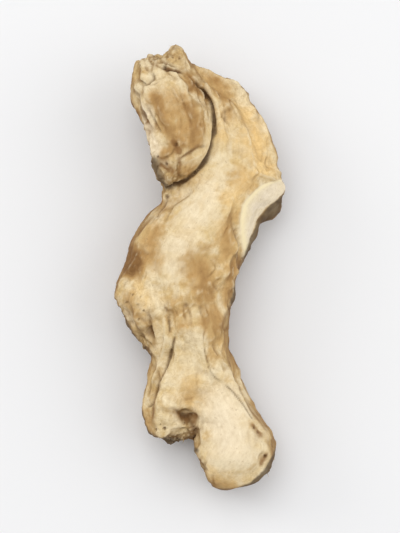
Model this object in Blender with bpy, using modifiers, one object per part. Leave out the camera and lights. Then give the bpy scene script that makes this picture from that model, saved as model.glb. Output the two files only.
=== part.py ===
"""A dried ginger rhizome, modelled in one piece.

The root lies on its flattest side with its length along Y and +Z up. The origin is on the
surface that it rests on, below the middle of its outline. Fingers are chains of ellipsoids
along a smooth spine. They are fused into one skin, which formulas then raise and sink into
growth rings, shrinkage wrinkles, crusts, scars and pared faces.
"""

import math

import bmesh
import bpy
import numpy as np
from mathutils import Matrix, Vector, noise
from mathutils.bvhtree import BVHTree

MM = 0.001

# Driving dimensions, in metres.
LENGTH = 111 * MM            # whole root, along Y
SPINE_STEP = 1.8 * MM        # between the ellipsoids along a finger
SKIN_VOXEL = 0.85 * MM       # cell of the fused skin, before the relief
JOIN_SOFTNESS = 7            # smoothing passes that round off where fingers meet
REST_LEVEL = -0.9 * MM       # height of the surface that it rests on, before it is stood up
MOST_TRIANGLES = 11200
RAY_HEIGHT = 0.2             # where the rays that find the skin start from

# Relief, in metres.
SWELL_HEIGHT, SWELL_SIZE = 0.9 * MM, 15 * MM
LUMP_HEIGHT, LUMP_SIZE = 0.4 * MM, 6 * MM
FLATS_ROUND, FLAT_DEPTH, FLAT_TWIST = 5, 0.085, 0.5
FOLD_DEPTH, FOLD_WIDTH, FOLD_STRETCH = 1.5 * MM, 8.5 * MM, 3.2
WRINKLE_DEPTH, WRINKLE_WIDTH, WRINKLE_STRETCH = 0.7 * MM, 4.0 * MM, 5.5
RING_HEIGHT, RING_WIDTH, RING_WAVER = 0.5 * MM, 1.1 * MM, 2.8 * MM
CRUST_HEIGHT, CRUST_GRAIN = 0.9 * MM, 2.6 * MM

# Each finger's spine: x, y, z, half width and half height in millimetres.
FINGERS = {
    "trunk": [
        (3.6, 49.6, 9.8, 5.2, 5.6),
        (5.4, 44.5, 9.8, 7.2, 7.6),
        (8.4, 36.1, 10.6, 10.0, 9.0),
        (7.6, 28.0, 11.5, 12.0, 10.0),
        (4.6, 18.5, 12.3, 11.6, 11.0),
        (-2.8, 7.3, 12.2, 13.9, 11.6),
        (-4.6, -1.5, 11.9, 14.4, 11.4),
        (-3.2, -9.5, 11.2, 12.0, 10.4),
        (-1.2, -17.0, 10.6, 10.1, 8.8),
        (0.0, -23.0, 9.6, 9.4, 7.8),
    ],
    "folded_finger": [
        (-9.4, 53.6, 15.4, 7.8, 5.8),
        (-7.6, 47.6, 17.2, 8.0, 7.4),
        (-5.3, 41.0, 18.4, 7.9, 7.8),
        (-4.8, 34.6, 18.8, 7.4, 7.4),
        (-5.4, 29.2, 18.0, 5.8, 6.4),
        (-5.9, 27.2, 17.4, 4.2, 5.4),
    ],
    "folded_finger_root": [
        (-7.0, 51.6, 12.5, 5.5, 6.0),
        (-1.6, 50.6, 11.5, 5.0, 6.0),
        (6.5, 47.7, 9.8, 6.9, 6.8),
    ],
    "shelf_under_fold": [
        (2.4, 46.0, 12.1, 5.0, 6.4),
        (4.8, 38.0, 14.3, 5.6, 6.8),
        (3.6, 31.0, 15.1, 6.4, 6.9),
        (-1.2, 25.0, 14.2, 6.6, 6.8),
        (-5.2, 21.3, 12.4, 4.6, 6.0),
    ],
    "right_shoulder": [
        (8.4, 25.5, 11.5, 8.8, 8.5),
        (12.6, 25.6, 11.8, 7.4, 7.6),
        (17.2, 25.4, 11.6, 5.2, 6.0),
    ],
    "left_shoulder": [
        (-7.5, 4.0, 11.5, 9.0, 9.5),
        (-12.4, -0.8, 11.2, 8.5, 8.8),
        (-14.9, -4.4, 10.6, 5.8, 7.4),
        (-12.0, -10.9, 10.2, 4.2, 6.0),
    ],
    "left_toe": [
        (-4.0, -19.0, 10.0, 7.4, 7.6),
        (-5.6, -28.0, 9.6, 6.7, 7.8),
        (-6.4, -33.6, 9.2, 6.9, 7.6),
        (-6.2, -35.2, 9.0, 5.8, 6.0),
    ],
    "toe_web": [
        (0.2, -20.0, 11.0, 6.4, 7.6),
        (-0.8, -26.0, 11.0, 5.6, 7.4),
        (-1.0, -30.4, 10.6, 4.4, 6.6),
        (-2.4, -36.0, 8.4, 3.5, 4.6),
    ],
    "right_toe": [
        (2.2, -17.0, 10.4, 6.2, 7.6),
        (4.6, -27.0, 9.6, 6.7, 7.8),
        (8.2, -36.0, 9.4, 7.8, 8.4),
        (9.9, -42.2, 9.4, 9.5, 8.8),
        (7.7, -44.3, 9.0, 8.2, 7.6),
    ],
    "shoulder_foot": [
        (10.6, 20.6, 8.6, 6.6, 6.2),
        (14.4, 20.8, 8.2, 5.4, 5.4),
        (17.2, 20.9, 8.0, 4.5, 4.8),
    ],
}

# Growth rings on each finger: millimetres along its spine, and strength.
RINGS = {
    "trunk": [(9, 0.5), (17, 0.9), (27, 0.5), (38, 0.6), (50, 0.4), (61, 0.6), (70, 1.3)],
    "folded_finger": [(4, 1.4), (9, 1.0), (15, 0.9), (20, 1.0)],
    "right_shoulder": [(5, 0.6)],
    "left_shoulder": [(7, 0.8), (12, 1.0)],
    "left_toe": [(7, 0.5), (13, 0.9)],
    "right_toe": [(8, 0.4), (17, 0.5), (25, 0.8)],
}

# Ends and faces where the skin is smoother: x, y, z, reach in millimetres, and how smooth.
SMOOTH_FACES = [
    (6.0, 30.0, 21.0, 13.0, 0.5),
    (0.0, 16.0, 24.0, 14.0, 0.65),
    (-4.0, 3.0, 24.0, 12.0, 0.5),
    (8.0, -6.0, 14.0, 12.0, 0.8),
    (9.0, -38.0, 18.0, 13.0, 0.6),
]

# Creases (below zero) and ridges (above) across the skin: height and half width in
# millimetres, then the x, y points that they run through on the upper side.
UPPER_LINES = [
    (-1.7, 1.0, [(1.9, 47.0), (4.4, 41.5), (4.2, 33.0), (-0.8, 26.0), (-7.4, 21.6)]),
    (0.9, 1.2, [(-1.5, 54.2), (1.9, 48.6), (4.6, 44.2)]),
    (-1.7, 1.2, [(-7.9, -8.6), (-5.5, -14.5), (-6.3, -19.1), (-8.8, -24.2), (-10.9, -30.2)]),
    (0.9, 1.4, [(0.1, -14.7), (3.3, -23.6), (9.4, -28.4), (14.4, -36.0)]),
    (1.1, 1.1, [(8.3, 46.0), (11.2, 40.6), (13.4, 34.0), (12.8, 28.4)]),
    (0.9, 1.0, [(12.6, 28.4), (16.0, 26.4), (19.0, 25.2)]),
    (1.0, 1.2, [(15.6, 22.4), (12.6, 17.0), (10.6, 10.6), (9.8, 3.6), (8.0, -4.6)]),
    (-0.7, 1.1, [(4.6, 44.0), (8.4, 38.6), (9.6, 31.4), (6.6, 22.0)]),
    (0.8, 1.0, [(-6.8, -9.0), (-4.0, -6.4), (-1.2, -4.8)]),
    (0.7, 1.0, [(-6.0, -14.7), (-2.4, -13.2), (1.8, -14.0), (4.4, -15.6)]),
    (-0.7, 1.0, [(-8.6, 18.6), (-1.6, 22.8), (5.4, 29.4), (7.0, 37.0)]),
    (-0.6, 0.9, [(-12.6, 8.0), (-10.8, 1.0), (-10.6, -5.0)]),
    (-0.8, 1.1, [(17.0, 20.5), (9.5, 15.6), (6.2, 8.0)]),
    (-0.6, 0.9, [(-4.0, 47.5), (-2.6, 40.5), (-3.2, 33.5)]),
    (-0.7, 0.9, [(-11.6, 48.0), (-10.0, 41.0), (-8.6, 34.5)]),
]
UNDER_LINES = [
    (-1.8, 3.0, [(6.0, 36.0), (2.0, 22.0), (-3.0, 8.0), (-4.0, -6.0)]),
    (-1.2, 1.6, [(1.0, -12.0), (1.6, -22.0), (2.0, -30.0)]),
    (0.9, 1.3, [(12.0, 30.0), (8.0, 16.0), (3.0, 2.0), (2.0, -12.0)]),
    (0.8, 1.2, [(-6.0, 26.0), (-10.0, 12.0), (-11.0, -2.0)]),
]

# Pits and scars: x, y, radius, depth and rim height in millimetres.
UPPER_SCARS = [
    (-2.2, -35.2, 3.0, 3.0, 0.4),
    (-10.4, -37.6, 0.9, 0.9, 0.2),
    (-8.3, -36.8, 0.9, 0.8, 0.2),
    (15.2, -38.0, 1.3, 1.1, 0.3),
    (16.4, -45.0, 1.8, 1.3, 0.3),
    (-16.2, -3.2, 1.1, 0.9, 0.2),
    (-17.6, -6.0, 1.0, 0.8, 0.2),
    (-12.6, -13.6, 2.2, 2.0, 0.4),
    (-14.6, -9.4, 1.4, 1.0, 0.3),
    (-8.6, 29.2, 1.9, 1.7, 0.5),
    (-3.6, 29.8, 1.5, 1.0, 0.4),
    (-3.2, 35.0, 1.4, 0.9, 0.3),
]
UNDER_SCARS = [
    (6.5, 28.0, 3.2, 1.0, 0.6),
    (-5.0, 18.0, 1.4, 0.9, 0.5),
    (3.5, 9.0, 1.2, 0.8, 0.5),
    (-9.0, -8.0, 2.6, 1.0, 0.6),
    (1.0, -8.0, 1.2, 0.8, 0.4),
    (-6.0, -28.0, 1.5, 0.9, 0.5),
    (9.0, -30.0, 1.2, 0.8, 0.4),
    (-7.0, 44.0, 3.4, 1.4, 0.7),
]
# Stem scars on the ends of fingers: x, y, z that the scar faces away from, the way it
# faces, then radius, depth and rim height in millimetres.
END_SCARS = [
    ((-8.5, 52.0, 15.5), (-0.35, 1.0, 0.25), 5.2, 2.0, 1.3),
    ((-5.5, 30.0, 18.0), (-0.15, -1.0, 0.1), 3.6, 1.2, 0.6),
    ((16.5, 26.5, 11.0), (1.0, 0.35, -0.1), 2.8, 0.8, 0.5),
    ((-14.5, -5.5, 10.5), (-1.0, -0.35, 0.1), 3.4, 1.0, 0.6),
    ((-6.5, -36.0, 8.8), (-0.25, -1.0, 0.25), 3.8, 1.3, 0.6),
    ((9.6, -45.0, 8.2), (0.25, -1.0, -0.1), 4.4, 0.8, 0.3),
]

# Rough, cork-like crusts: x, y, z, reach in millimetres, and strength.
CRUSTS = [
    (-9.0, 55.0, 16.0, 9.0, 1.2),
    (-6.0, 27.0, 18.0, 9.0, 1.1),
    (-12.0, 38.0, 20.0, 7.0, 0.8),
    (-3.0, 38.0, 25.0, 9.0, 0.5),
    (-17.5, -6.0, 11.0, 9.0, 0.9),
    (-12.0, -15.0, 11.0, 6.0, 1.0),
    (-6.0, -38.0, 9.0, 8.0, 0.9),
    (4.0, 54.0, 10.0, 6.0, 0.7),
]

# Faces pared flat with a knife: a point on the face, the way it faces, and its reach.
PARED = [
    ((16.6, 16.8, 13.1), (0.64, -0.40, 0.66), 13.5),
    ((-1.0, 57.0, 9.0), (0.35, 0.90, -0.15), 9.0),
]

# Resting spots, where the underside is drawn down to the surface: x, y and reach.
FEET = [(6.0, 38.0, 11.0), (-10.5, 1.0, 12.0), (9.5, -42.0, 10.5)]

SKIN_COLOUR = (0.70, 0.53, 0.30, 1.0)


def clear_scene():
    for obj in list(bpy.data.objects):
        bpy.data.objects.remove(obj)


def catmull_rom(knots, step):
    """Points on the smooth curve through the knots, about step apart by their position."""
    padded = np.vstack([2 * knots[0] - knots[1], knots, 2 * knots[-1] - knots[-2]])
    points = []
    for before, start, end, after in zip(padded, padded[1:], padded[2:], padded[3:]):
        count = max(1, round(float(np.linalg.norm(end[:3] - start[:3])) / step))
        for i in range(count):
            t = i / count
            points.append(0.5 * (
                2 * start + (end - before) * t
                + (2 * before - 5 * start + 4 * end - after) * t ** 2
                + (3 * start - before - 3 * end + after) * t ** 3))
    return np.array(points + [knots[-1]])


class Spine:
    """The ellipsoids along one finger: centres, half sizes, directions and travel."""

    def __init__(self, name, stations):
        line = catmull_rom(np.array(stations) * MM, SPINE_STEP)
        self.name = name
        self.centres = line[:, :3]
        self.half_widths, self.half_heights = line[:, 3], line[:, 4]
        self.ends = np.minimum(self.half_widths, self.half_heights)
        steps = np.linalg.norm(np.diff(self.centres, axis=0), axis=1)
        self.travel = np.concatenate([[0.0], np.cumsum(steps)])
        along = np.gradient(self.centres, axis=0)
        self.along = along / np.linalg.norm(along, axis=1, keepdims=True)
        side = np.cross(self.along, (0.0, 0.0, 1.0))
        self.side = side / np.linalg.norm(side, axis=1, keepdims=True)
        self.up = np.cross(self.side, self.along)

    def add_ellipsoids(self, mesh):
        for i, centre in enumerate(self.centres):
            turn = Matrix((self.side[i], self.along[i], self.up[i])).transposed().to_4x4()
            size = Matrix.Diagonal((self.half_widths[i], self.ends[i], self.half_heights[i], 1))
            bmesh.ops.create_icosphere(
                mesh, subdivisions=3, radius=1.0,
                matrix=Matrix.Translation(centre) @ turn @ size)

    def locate(self, points):
        """How far each point is from the finger, in its own radii, how far along it the
        point is, and its two offsets across the spine."""
        offset = points[:, None, :] - self.centres[None]
        across = np.einsum("pck,ck->pc", offset, self.side)
        above = np.einsum("pck,ck->pc", offset, self.up)
        ahead = np.einsum("pck,ck->pc", offset, self.along)
        reach = np.sqrt((across / self.half_widths) ** 2 + (above / self.half_heights) ** 2
                        + (ahead / self.ends) ** 2)
        nearest = reach.argmin(axis=1)
        rows = np.arange(len(points))
        travel = self.travel[nearest] + ahead[rows, nearest]
        return reach[rows, nearest], travel, across[rows, nearest], above[rows, nearest]


def evaluated_mesh(obj):
    graph = bpy.context.evaluated_depsgraph_get()
    return bpy.data.meshes.new_from_object(obj.evaluated_get(graph))


def fused_skin(obj, spines):
    """Fills the object with every finger's ellipsoids, fused into one rounded skin."""
    mesh = bmesh.new()
    for spine in spines:
        spine.add_ellipsoids(mesh)
    mesh.to_mesh(obj.data)
    mesh.free()
    remesh = obj.modifiers.new("Fuse", "REMESH")
    remesh.mode = "VOXEL"
    remesh.voxel_size = SKIN_VOXEL
    smooth = obj.modifiers.new("Round joins", "SMOOTH")
    smooth.factor = 0.5
    smooth.iterations = JOIN_SOFTNESS
    obj.data = evaluated_mesh(obj)
    obj.modifiers.clear()


def coordinates(mesh):
    points = np.empty(len(mesh.vertices) * 3)
    mesh.vertices.foreach_get("co", points)
    return points.reshape(-1, 3)


def normals(mesh):
    found = np.empty(len(mesh.vertices) * 3)
    mesh.vertex_normals.foreach_get("vector", found)
    return found.reshape(-1, 3)


def place(mesh, points):
    mesh.vertices.foreach_set("co", points.ravel())
    mesh.update()


def noise_at(points, size, seed):
    """Smooth noise from about -1 to 1, with features of the given size."""
    shift = Vector((seed * 7.3, seed * 3.1, seed * 5.7))
    return np.array([noise.noise(Vector(p) / size + shift) for p in points])


def ridged(values):
    """Noise folded into sharp crests: 1 on a crest and falling to about -0.4."""
    return 1.0 - 2.8 * np.abs(values)


def smooth_step(low, high, values):
    t = np.clip((values - low) / (high - low), 0.0, 1.0)
    return t * t * (3.0 - 2.0 * t)


def ring_relief(spine, travel, waver, patchy):
    """Growth rings: a rim that is steep on one side and eases off on the other."""
    height = np.zeros(len(travel))
    for place_mm, strength in RINGS.get(spine.name, []):
        ahead = (travel - place_mm * MM + waver * RING_WAVER) / RING_WIDTH
        rim = np.where(ahead < 0, np.exp(-(ahead * 0.4) ** 2), np.exp(-(ahead * 1.3) ** 2))
        groove = -0.9 * np.exp(-((ahead - 1.5) / 0.8) ** 2)
        height += strength * (rim + groove) * (0.25 + 0.75 * patchy)
    return height * RING_HEIGHT


def flat_relief(across, above, travel, seed):
    """Draws the round finger in to a few flat sides with blunt edges between them."""
    turn = np.arctan2(above, across) / math.tau + FLAT_TWIST * travel / (60 * MM) + 0.37 * seed
    turn += 0.06 * np.sin(travel / (9 * MM) + seed)
    from_flat = (turn * FLATS_ROUND % 1.0 - 0.5) * math.tau / FLATS_ROUND
    edge = 1.0 / np.cos(from_flat)
    return (edge - edge.mean()) * np.hypot(across, above) * FLAT_DEPTH / (edge.max() - 1.0)


def finger_relief(spines, points, rough):
    """Flats and wrinkles along each finger and rings across it, shared out where they meet."""
    found = [spine.locate(points) for spine in spines]
    nearest = np.min([reach for reach, *_ in found], axis=0)
    waver = noise_at(points, 9 * MM, 1)
    patchy = smooth_step(-0.3, 0.4, noise_at(points, 14 * MM, 2))
    total = np.zeros(len(points))
    weights = np.zeros(len(points))
    for seed, (spine, (reach, travel, across, above)) in enumerate(zip(spines, found)):
        weight = np.exp(-14.0 * (reach - nearest))
        stretched = (travel + waver * 5 * MM)
        folds = np.stack([across, above, stretched / FOLD_STRETCH], axis=1)
        lines = np.stack([across, above, stretched / WRINKLE_STRETCH], axis=1)
        fold = np.maximum(ridged(noise_at(folds, FOLD_WIDTH, 20 + seed)), 0.0)
        wrinkle = np.maximum(ridged(noise_at(lines, WRINKLE_WIDTH, 10 + seed)), -0.1)
        fine = ridged(noise_at(lines, WRINKLE_WIDTH * 0.55, 30 + seed))
        relief = FOLD_DEPTH * (fold - 0.4)
        relief += WRINKLE_DEPTH * (wrinkle + 0.3 * fine - 0.4) * (0.4 + 0.6 * patchy)
        relief = rough * relief + flat_relief(across, above, travel, seed)
        total += weight * (relief + rough * ring_relief(spine, travel, waver, patchy))
        weights += weight
    return total / weights


def spread(points, spots):
    """How strongly each point is touched by the spots: x, y, z, reach and strength."""
    strength = np.zeros(len(points))
    for x, y, z, reach, amount in spots:
        distance = np.linalg.norm(points - np.array((x, y, z)) * MM, axis=1)
        strength = np.maximum(strength, amount * smooth_step(1.0, 0.25, distance / (reach * MM)))
    return strength


def crust_relief(points):
    """Cork that has cracked into small raised cells."""
    strength = spread(points, CRUSTS)
    cells = np.zeros(len(points))
    for i in np.flatnonzero(strength > 0):
        first, second, *_ = noise.voronoi(Vector(points[i]) / CRUST_GRAIN)[0]
        cells[i] = min(second - first, 0.6) - 0.3
    return strength * cells * CRUST_HEIGHT * 2.2


def skin_point(tree, x, y, from_above):
    """Where the vertical line at x, y meets the skin, and the way the skin faces there."""
    way = -1.0 if from_above else 1.0
    point, normal, *_ = tree.ray_cast(Vector((x * MM, y * MM, -way * RAY_HEIGHT)), Vector((0, 0, way)))
    return (np.array(point), np.array(normal)) if point is not None else None


def distance_to_line(points, line):
    best = np.full(len(points), np.inf)
    for start, end in zip(line, line[1:]):
        run = end - start
        share = np.clip((points - start) @ run / (run @ run), 0.0, 1.0)
        best = np.minimum(best, np.linalg.norm(points - start - share[:, None] * run, axis=1))
    return best


def line_relief(points, tree, lines, from_above):
    """Long creases and ridges that run over the skin through the given points."""
    height = np.zeros(len(points))
    for height_mm, half_width, route in lines:
        knots = np.array([(x * MM, y * MM, 0.0, 0.0) for x, y in route])
        smooth = [skin_point(tree, x / MM, y / MM, from_above)
                  for x, y, *_ in catmull_rom(knots, 1.5 * MM)]
        line = np.array([hit[0] for hit in smooth if hit])
        wobble = 1.0 + 0.35 * noise_at(points, 5 * MM, 50 + half_width)
        share = distance_to_line(points, line) / (half_width * MM * wobble)
        ends = np.linalg.norm(points - line[0], axis=1), np.linalg.norm(points - line[-1], axis=1)
        fade = smooth_step(0.0, 3 * half_width * MM, np.minimum(*ends))
        height += height_mm * MM * np.exp(-share ** 2) * (0.35 + 0.65 * fade)
    return height


def sink_scar(points, centre, facing, radius, depth, rim):
    """Sinks a pit with a raised, uneven rim, all in millimetres but the centre."""
    offset = points - centre
    ragged = 1.0 + 0.28 * noise_at(points, 2.4 * MM, 70)
    share = np.linalg.norm(offset, axis=1) / (radius * MM) * ragged
    pit = -depth * np.clip(1.0 - share ** 2, 0.0, 1.0) ** 1.5
    edge = rim * np.exp(-((share - 1.15) / 0.3) ** 2)
    return points + ((pit + edge) * MM)[:, None] * facing[None]


def sink_scars(points, tree):
    for scars, from_above in ((UPPER_SCARS, True), (UNDER_SCARS, False)):
        for x, y, radius, depth, rim in scars:
            hit = skin_point(tree, x, y, from_above)
            if hit:
                points = sink_scar(points, *hit, radius, depth, rim)
    for start, way, radius, depth, rim in END_SCARS:
        facing = Vector(way).normalized()
        # The ray comes from outside, back towards the middle of the finger's end.
        outside = Vector(start) * MM + facing * RAY_HEIGHT
        point = tree.ray_cast(outside, -facing)[0]
        points = sink_scar(points, np.array(point), np.array(facing), radius, depth, rim)
    return points


def pare(points):
    """Slices thin faces off, as a knife does when a root is trimmed."""
    for centre, way, reach in PARED:
        centre = np.array(centre) * MM
        facing = np.array(way) / np.linalg.norm(way)
        outside = (points - centre) @ facing
        near = smooth_step(1.0, 0.75, np.linalg.norm(points - centre, axis=1) / (reach * MM))
        points = points - (np.clip(outside, 0.0, None) * near)[:, None] * facing
    return points


def draw_down_feet(points, facing):
    """Draws the underside down just past the surface at the three resting spots."""
    down = smooth_step(-0.2, -0.7, facing[:, 2])
    for x, y, reach in FEET:
        distance = np.linalg.norm(points[:, :2] - np.array((x, y)) * MM, axis=1) / (reach * MM)
        near = smooth_step(1.0, 0.1, distance * (1.0 + 0.6 * noise_at(points, 7 * MM, 80)))
        points[:, 2] += near * down * np.minimum(REST_LEVEL - 0.3 * MM - points[:, 2], 0.0)
    return points


def raise_relief(mesh, spines):
    """Gives the fused skin all of its relief."""
    points, facing = coordinates(mesh), normals(mesh)
    tree = BVHTree.FromPolygons(points.tolist(), [tuple(p.vertices) for p in mesh.polygons])
    height = finger_relief(spines, points, 1.0 - spread(points, SMOOTH_FACES)) + crust_relief(points)
    height += SWELL_HEIGHT * noise_at(points, SWELL_SIZE, 3)
    height += LUMP_HEIGHT * noise_at(points, LUMP_SIZE, 4)
    height += line_relief(points, tree, UPPER_LINES, True)
    height += line_relief(points, tree, UNDER_LINES, False)
    points = points + height[:, None] * facing
    points = sink_scars(points, tree)
    points = pare(points)
    place(mesh, draw_down_feet(points, facing))


def thin_out(obj):
    """Brings the mesh down to the number of triangles that the shape needs."""
    decimate = obj.modifiers.new("Thin out", "DECIMATE")
    triangles = sum(len(p.vertices) - 2 for p in obj.data.polygons)
    decimate.ratio = min(1.0, MOST_TRIANGLES / triangles)
    decimate.use_collapse_triangulate = True
    obj.data = evaluated_mesh(obj)
    obj.modifiers.clear()


def stand(mesh):
    """Scales the root to its length, wears its resting spots flat and centres it."""
    points = coordinates(mesh)
    low, high = points.min(axis=0), points.max(axis=0)
    scale = LENGTH / (high[1] - low[1])
    middle = np.array(((low[0] + high[0]) / 2, (low[1] + high[1]) / 2, REST_LEVEL))
    place(mesh, (points - middle) * scale)
    worn = bmesh.new()
    worn.from_mesh(mesh)
    cut = bmesh.ops.bisect_plane(
        worn, geom=worn.verts[:] + worn.edges[:] + worn.faces[:], dist=1e-7,
        plane_co=(0, 0, 0), plane_no=(0, 0, -1), clear_outer=True)
    rims = [item for item in cut["geom_cut"] if isinstance(item, bmesh.types.BMEdge)]
    bmesh.ops.holes_fill(worn, edges=rims)
    bmesh.ops.remove_doubles(worn, verts=worn.verts[:], dist=0.02 * MM)
    bmesh.ops.triangulate(worn, faces=worn.faces[:])
    bmesh.ops.recalc_face_normals(worn, faces=worn.faces[:])
    worn.to_mesh(mesh)
    worn.free()


def skin_material():
    material = bpy.data.materials.new("dried_skin")
    material.use_nodes = True
    shader = material.node_tree.nodes["Principled BSDF"]
    shader.inputs["Base Color"].default_value = SKIN_COLOUR
    shader.inputs["Roughness"].default_value = 0.78
    shader.inputs["Metallic"].default_value = 0.0
    return material


def build_rhizome(collection):
    spines = [Spine(name, stations) for name, stations in FINGERS.items()]
    rhizome = bpy.data.objects.new("rhizome", bpy.data.meshes.new("rhizome"))
    collection.objects.link(rhizome)
    bpy.context.view_layer.update()
    fused_skin(rhizome, spines)
    raise_relief(rhizome.data, spines)
    thin_out(rhizome)
    stand(rhizome.data)
    rhizome.data.materials.clear()
    rhizome.data.materials.append(skin_material())
    rhizome.data.shade_smooth()
    return rhizome


def main():
    clear_scene()
    collection = bpy.data.collections.new("dried_ginger_root")
    bpy.context.scene.collection.children.link(collection)
    build_rhizome(collection)


main()
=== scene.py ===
"""Dresses a dried ginger root: its fine skin, its colours, its fibres and a plain studio.

The file is laid out as a Blender add-on and is run as a script. The skin is a finer copy of
the rhizome's own solid. Formulas give it shrinkage wrinkles, leaf rings, cracked cork and
pores, and the marks that they leave on it steer the procedural colours.
"""

import math

import bmesh
import bpy
import numpy as np
from bpy.props import FloatProperty, FloatVectorProperty, IntProperty, PointerProperty
from mathutils import Matrix, Vector
from mathutils.bvhtree import BVHTree


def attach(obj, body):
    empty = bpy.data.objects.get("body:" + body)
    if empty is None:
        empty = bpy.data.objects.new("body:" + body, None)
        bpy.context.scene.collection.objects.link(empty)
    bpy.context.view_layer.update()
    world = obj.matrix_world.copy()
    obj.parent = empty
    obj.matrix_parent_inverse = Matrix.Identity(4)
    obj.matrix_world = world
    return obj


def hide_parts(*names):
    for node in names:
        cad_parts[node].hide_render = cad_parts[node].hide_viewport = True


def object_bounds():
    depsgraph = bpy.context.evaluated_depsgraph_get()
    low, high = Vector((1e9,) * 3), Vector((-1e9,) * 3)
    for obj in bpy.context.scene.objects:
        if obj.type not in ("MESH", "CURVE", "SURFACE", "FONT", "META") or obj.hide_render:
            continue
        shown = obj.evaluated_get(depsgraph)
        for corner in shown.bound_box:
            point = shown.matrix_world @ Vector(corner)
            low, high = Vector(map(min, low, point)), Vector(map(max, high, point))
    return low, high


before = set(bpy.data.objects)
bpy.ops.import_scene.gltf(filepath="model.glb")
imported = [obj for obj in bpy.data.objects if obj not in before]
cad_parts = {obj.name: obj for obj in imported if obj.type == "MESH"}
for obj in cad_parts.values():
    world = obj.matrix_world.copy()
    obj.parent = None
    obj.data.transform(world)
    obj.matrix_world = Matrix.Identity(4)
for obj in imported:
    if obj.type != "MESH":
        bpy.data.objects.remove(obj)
CAD_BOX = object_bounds()

bl_info = {
    "name": "Dried Ginger Root",
    "version": (1, 0, 0),
    "blender": (4, 5, 0),
    "location": "View3D > Sidebar > Ginger",
    "description": "Grows the fine skin, fibres and studio of a dried ginger root",
    "category": "Object",
}

MM = 0.001
NODE = "rhizome"
# How far above the horizon the photo was taken from.
ELEVATION = math.radians(81.5)
# The height that places read off the photo are measured at.
HALF_HEIGHT = (CAD_BOX[0].z + CAD_BOX[1].z) / 2

# Each finger's middle line, in millimetres: x, y, z and radius.
FINGERS = {
    "trunk": [
        (2.9, 44.4, 10.4, 5.2), (4.6, 39.4, 10.4, 7.2), (7.3, 31.6, 11.1, 9.1),
        (6.8, 23.5, 12.0, 10.6), (3.8, 14.3, 12.8, 10.9), (-3.4, 3.4, 12.7, 12.3),
        (-5.0, -5.1, 12.4, 12.4), (-3.7, -12.8, 11.7, 10.8), (-1.7, -20.1, 11.1, 9.1),
        (-0.6, -25.9, 10.2, 8.3),
    ],
    "folded_finger": [
        (-9.7, 48.2, 15.8, 6.5), (-7.9, 42.4, 17.5, 7.6), (-5.7, 36.0, 18.7, 7.6),
        (-4.9, 29.8, 19.1, 7.0), (-5.8, 24.6, 18.3, 5.9), (-6.3, 22.7, 17.7, 4.6),
    ],
    "right_shoulder": [(7.6, 21.0, 12.0, 8.4), (11.6, 21.1, 12.3, 7.3), (16.1, 20.9, 12.1, 5.4)],
    "left_shoulder": [
        (-7.9, 0.2, 12.0, 9.0), (-12.7, -4.5, 11.7, 8.4), (-15.1, -7.9, 11.1, 6.4),
        (-12.3, -14.2, 10.8, 4.9),
    ],
    "left_toe": [
        (-4.5, -22.0, 10.5, 7.3), (-6.0, -30.7, 10.2, 7.0), (-6.8, -36.1, 9.8, 7.0),
        (-6.6, -37.7, 9.6, 5.7),
    ],
    "right_toe": [
        (1.5, -20.1, 10.9, 6.6), (3.9, -29.8, 10.2, 7.0), (7.3, -38.5, 10.0, 7.8),
        (9.0, -44.5, 10.0, 8.8), (6.9, -46.5, 9.6, 7.6),
    ],
}

# Lines on the upper side: strength and half width in millimetres, then the x, y points they
# run through. Creases are cut into the skin and folds stand out of it.
CREASES = [
    (1.0, 0.42, [(-1.6, 46.8), (0.6, 44.2), (2.6, 41.0), (3.4, 37.2), (3.4, 33.0), (2.4, 28.7),
                 (0.0, 24.7), (-2.9, 22.0), (-5.4, 20.7), (-8.6, 19.2)]),
    (0.45, 0.3, [(-7.7, -12.4), (-7.4, -15.0), (-7.4, -17.0)]),
    (0.6, 0.32, [(-6.0, -16.9), (-6.8, -20.4), (-7.6, -23.3), (-9.0, -27.0), (-10.5, -31.1),
                 (-11.6, -34.1), (-13.1, -35.2)]),
    (0.4, 0.4, [(-6.4, -35.0), (-5.0, -36.4), (-3.4, -37.2), (-1.8, -36.4), (-0.4, -37.4)]),
    (0.45, 0.42, [(-3.0, -37.4), (-2.0, -39.4), (-1.2, -41.2), (-1.5, -44.2)]),
    (0.35, 0.3, [(-5.6, -41.0), (-4.0, -40.2), (-2.4, -41.4)]),
    (0.55, 0.4, [(-12.6, -12.4), (-11.8, -15.6), (-11.2, -19.2)]),
    (0.5, 0.34, [(-14.8, -17.2), (-12.8, -18.6), (-11.2, -20.4)]),
    (0.3, 0.3, [(-7.4, 17.9), (-9.8, 13.9), (-12.3, 10.4)]),
    (0.22, 0.28, [(-5.2, 16.4), (-7.4, 13.6), (-8.8, 10.6)]),
    (0.32, 0.28, [(1.0, -19.6), (2.1, -24.8), (3.6, -27.4), (5.8, -28.9)]),
    (0.4, 0.28, [(5.8, -28.9), (8.0, -31.1), (10.6, -34.1), (13.2, -38.1)]),
    (0.5, 0.36, [(-15.2, 46.6), (-13.2, 45.4), (-11.4, 46.8), (-11.9, 49.0)]),
    (1.0, 0.45, [(-9.0, 50.3), (-8.2, 49.5), (-6.6, 49.1), (-5.0, 48.8), (-3.8, 47.9)]),
    (0.55, 0.36, [(-9.9, 51.2), (-7.5, 50.6), (-5.2, 49.6)]),
    (0.35, 0.28, [(-13.1, 40.1), (-11.0, 36.0), (-9.2, 32.9)]),
    (0.35, 0.3, [(1.8, 30.2), (-0.8, 29.4), (-3.4, 27.8), (-5.0, 26.4)]),
    (0.3, 0.3, [(-6.0, 29.8), (-7.4, 27.6), (-9.6, 26.6)]),
    (0.3, 0.3, [(-5.2, 26.4), (-5.6, 23.8), (-4.6, 22.0)]),
    (0.2, 0.28, [(5.9, 40.6), (6.3, 38.0), (6.0, 35.4)]),
    (0.3, 0.26, [(7.0, -8.6), (7.1, -12.4), (6.8, -15.4)]),
]
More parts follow.
